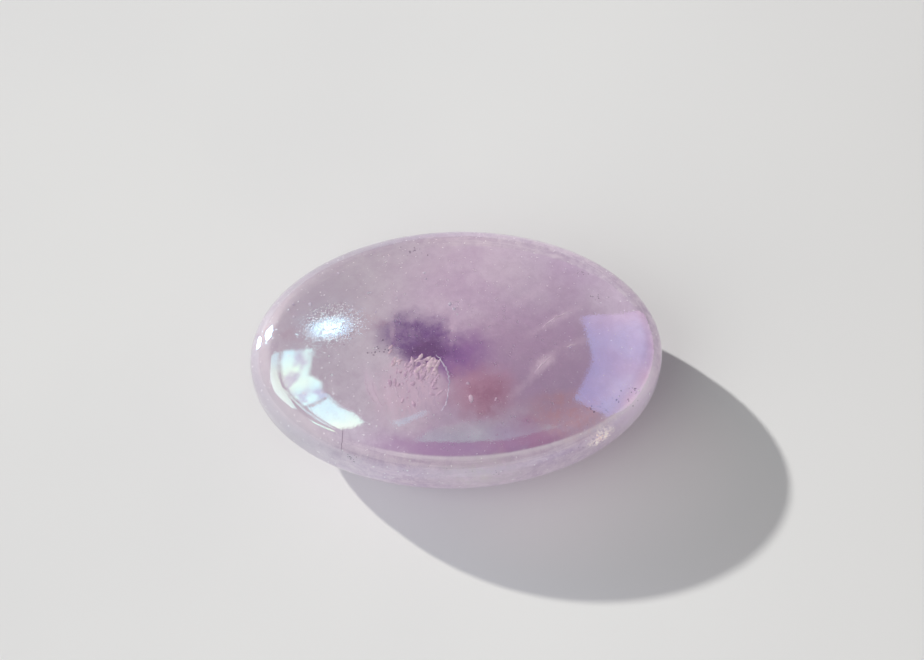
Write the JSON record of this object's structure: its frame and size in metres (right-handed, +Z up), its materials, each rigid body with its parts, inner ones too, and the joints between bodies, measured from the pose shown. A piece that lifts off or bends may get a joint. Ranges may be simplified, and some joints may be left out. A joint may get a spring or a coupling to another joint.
{
  "type": "palm stone",
  "caption": "Oval massage stone with two shallow domes and a rounded side, cut from one pale violet crystal and polished with a pearly coating.",
  "frame": {"origin": "middle of the small resting flat under the stone", "axes": "+X along the stone's length, +Y along its width, +Z up out of the resting flat"},
  "size_m": [0.065, 0.0424, 0.0194],
  "materials": {
    "coated_quartz": "polished"
  },
  "bodies": {
    "root": {"palm_stone": "coated_quartz"}
  },
  "joints": []
}
